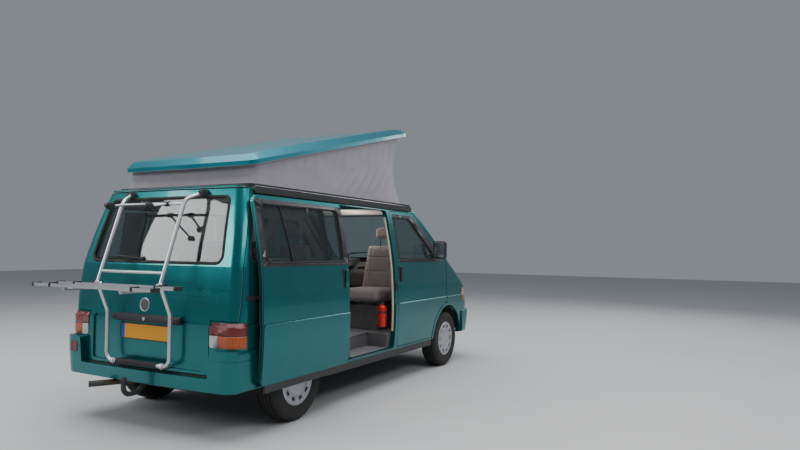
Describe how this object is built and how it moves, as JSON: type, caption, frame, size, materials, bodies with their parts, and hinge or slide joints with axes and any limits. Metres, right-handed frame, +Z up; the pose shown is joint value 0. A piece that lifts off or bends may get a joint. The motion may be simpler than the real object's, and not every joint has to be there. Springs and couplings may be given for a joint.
{
  "type": "camper van",
  "caption": "Camper van with raised pop-up roof and canvas, open side door, cycle carrier on the tailgate, cabin and steered wheels",
  "frame": {"origin": "on the ground under the middle of the van's whole length and width, carrier and mirrors included", "axes": "+X forwards, +Y to the van's left, +Z up"},
  "size_m": [5.098, 2.15, 2.7738],
  "materials": {
    "paint": "metallic gloss",
    "roof_paint": "gloss",
    "black_plastic": "satin",
    "glass": "clear, tinted",
    "lamp": "clear",
    "tail_lamp": "clear red",
    "tyre": "matt",
    "wheel_paint": "satin silver",
    "underbody": "satin",
    "cast": "rough",
    "anodised": "satin anodised",
    "canvas": "woven",
    "seat_cloth": "woven",
    "furniture": "laminate",
    "trim": "grained",
    "steel": "satin"
  },
  "bodies": {
    "body": {"floor_pan": "underbody", "side_left": "paint", "side_right": "paint", "front_wings": "paint", "roof_panel": "paint", "cowl": "paint", "front_panel": "paint", "grille": "black_plastic", "front_lamps": "lamp", "tail_lamps": "tail_lamp", "body_glass": "glass", "sill_trims": "black_plastic", "gutter_rails": "black_plastic", "sliding_door": "paint", "sliding_door_glass": "glass", "sliding_door_skirt": "black_plastic", "slide_rail": "black_plastic", "front_bumper": "paint", "rear_bumper": "paint", "roof_frame": "black_plastic", "roof_canvas": "canvas", "front_subframe": "underbody", "rear_axle": "underbody", "engine": "cast", "fuel_tank": "black_plastic", "exhaust": "steel", "tow_bar": "underbody", "dashboard": "trim", "front_seats": "seat_cloth", "rear_bench": "seat_cloth", "kitchen_unit": "furniture"},
    "tailgate": {"tailgate": "paint", "tailgate_glass": "glass", "carrier_frame": "anodised"},
    "carrier_platform": {"carrier_platform": "anodised"},
    "bonnet": {"bonnet": "paint"},
    "roof_links": {"roof_links": "steel"},
    "pop_roof": {"pop_roof": "roof_paint"},
    "strut_lower": {"strut_lower": "steel"},
    "strut_upper": {"strut_upper": "steel"},
    "steering_wheel": {"steering_wheel": "black_plastic"},
    "front_door_left": {"front_door_left": "paint", "door_glass_left": "glass", "mirror_left": "black_plastic"},
    "knuckle_left": {"knuckle_left": "cast"},
    "wheel_front_left": {"rim_front_left": "wheel_paint", "tyre_front_left": "tyre"},
    "wheel_rear_left": {"rim_rear_left": "wheel_paint", "tyre_rear_left": "tyre"},
    "front_door_right": {"front_door_right": "paint", "door_glass_right": "glass", "mirror_right": "black_plastic"},
    "knuckle_right": {"knuckle_right": "cast"},
    "wheel_front_right": {"rim_front_right": "wheel_paint", "tyre_front_right": "tyre"},
    "wheel_rear_right": {"rim_rear_right": "wheel_paint", "tyre_rear_right": "tyre"}
  },
  "joints": [
    {"name": "roof_fold", "type": "hinge", "parent": "roof_links", "child": "pop_roof", "pos_m": [-1.48765, 0, 2.1348], "axis": [0, 1, 0], "range_deg": [0, 37.66], "deforming": ["roof_canvas"]},
    {"name": "link_swing", "type": "hinge", "parent": "body", "child": "roof_links", "pos_m": [-1.05562, 0, 1.924], "axis": [0, -1, 0], "range_deg": [0, 24.36]},
    {"name": "strut_foot", "type": "hinge", "parent": "body", "child": "strut_lower", "pos_m": [0.311, 0, 1.924], "axis": [0, -1, 0], "range_deg": [0, 77.21]},
    {"name": "strut_head", "type": "hinge", "parent": "pop_roof", "child": "strut_upper", "pos_m": [0.30508, 0, 2.57926], "axis": [0, 1, 0], "range_deg": [0, 64.45]},
    {"name": "tailgate_hinge", "type": "hinge", "parent": "body", "child": "tailgate", "pos_m": [-1.839, 0, 1.876], "axis": [0, 1, 0], "range_deg": [0, 80]},
    {"name": "carrier_fold", "type": "hinge", "parent": "tailgate", "child": "carrier_platform", "pos_m": [-2.219, 0, 1.122], "axis": [0, 1, 0], "range_deg": [0, 84]},
    {"name": "door_left", "type": "hinge", "parent": "body", "child": "front_door_left", "pos_m": [1.599, 0.905, 1], "axis": [0, 0, -1], "range_deg": [0, 68]},
    {"name": "door_right", "type": "hinge", "parent": "body", "child": "front_door_right", "pos_m": [1.599, -0.905, 1], "axis": [0, 0, 1], "range_deg": [0, 68]},
    {"name": "bonnet_hinge", "type": "hinge", "parent": "body", "child": "bonnet", "pos_m": [1.949, 0, 1.226], "axis": [0, -1, 0], "range_deg": [0, 60]},
    {"name": "steer_left", "type": "hinge", "parent": "body", "child": "knuckle_left", "pos_m": [1.671, 0.727, 0.327], "axis": [0, 0, 1], "range_deg": [-33, 33]},
    {"name": "steer_right", "type": "hinge", "parent": "body", "child": "knuckle_right", "pos_m": [1.671, -0.727, 0.327], "axis": [0, 0, 1], "range_deg": [-33, 33]},
    {"name": "steering_wheel_turn", "type": "hinge", "parent": "body", "child": "steering_wheel", "pos_m": [1.111, 0.43, 1.13], "axis": [-0.6157, 0, 0.788], "range_deg": [-495, 495]},
    {"name": "front_left_spin", "type": "hinge", "parent": "knuckle_left", "child": "wheel_front_left", "pos_m": [1.671, 0.795, 0.327], "axis": [0, 1, 0], "continuous": true},
    {"name": "front_right_spin", "type": "hinge", "parent": "knuckle_right", "child": "wheel_front_right", "pos_m": [1.671, -0.795, 0.327], "axis": [0, 1, 0], "continuous": true},
    {"name": "rear_left_spin", "type": "hinge", "parent": "body", "child": "wheel_rear_left", "pos_m": [-1.249, 0.78, 0.327], "axis": [0, 1, 0], "continuous": true},
    {"name": "rear_right_spin", "type": "hinge", "parent": "body", "child": "wheel_rear_right", "pos_m": [-1.249, -0.78, 0.327], "axis": [0, 1, 0], "continuous": true}
  ],
  "couplings": [
    {"joint": "link_swing", "follows": "roof_fold", "ratio": 0.6336},
    {"joint": "strut_foot", "follows": "roof_fold", "ratio": 2.0367},
    {"joint": "strut_head", "follows": "roof_fold", "ratio": 1.6978},
    {"joint": "steer_right", "follows": "steer_left", "ratio": 1},
    {"joint": "steering_wheel_turn", "follows": "steer_left", "ratio": 14.99}
  ]
}
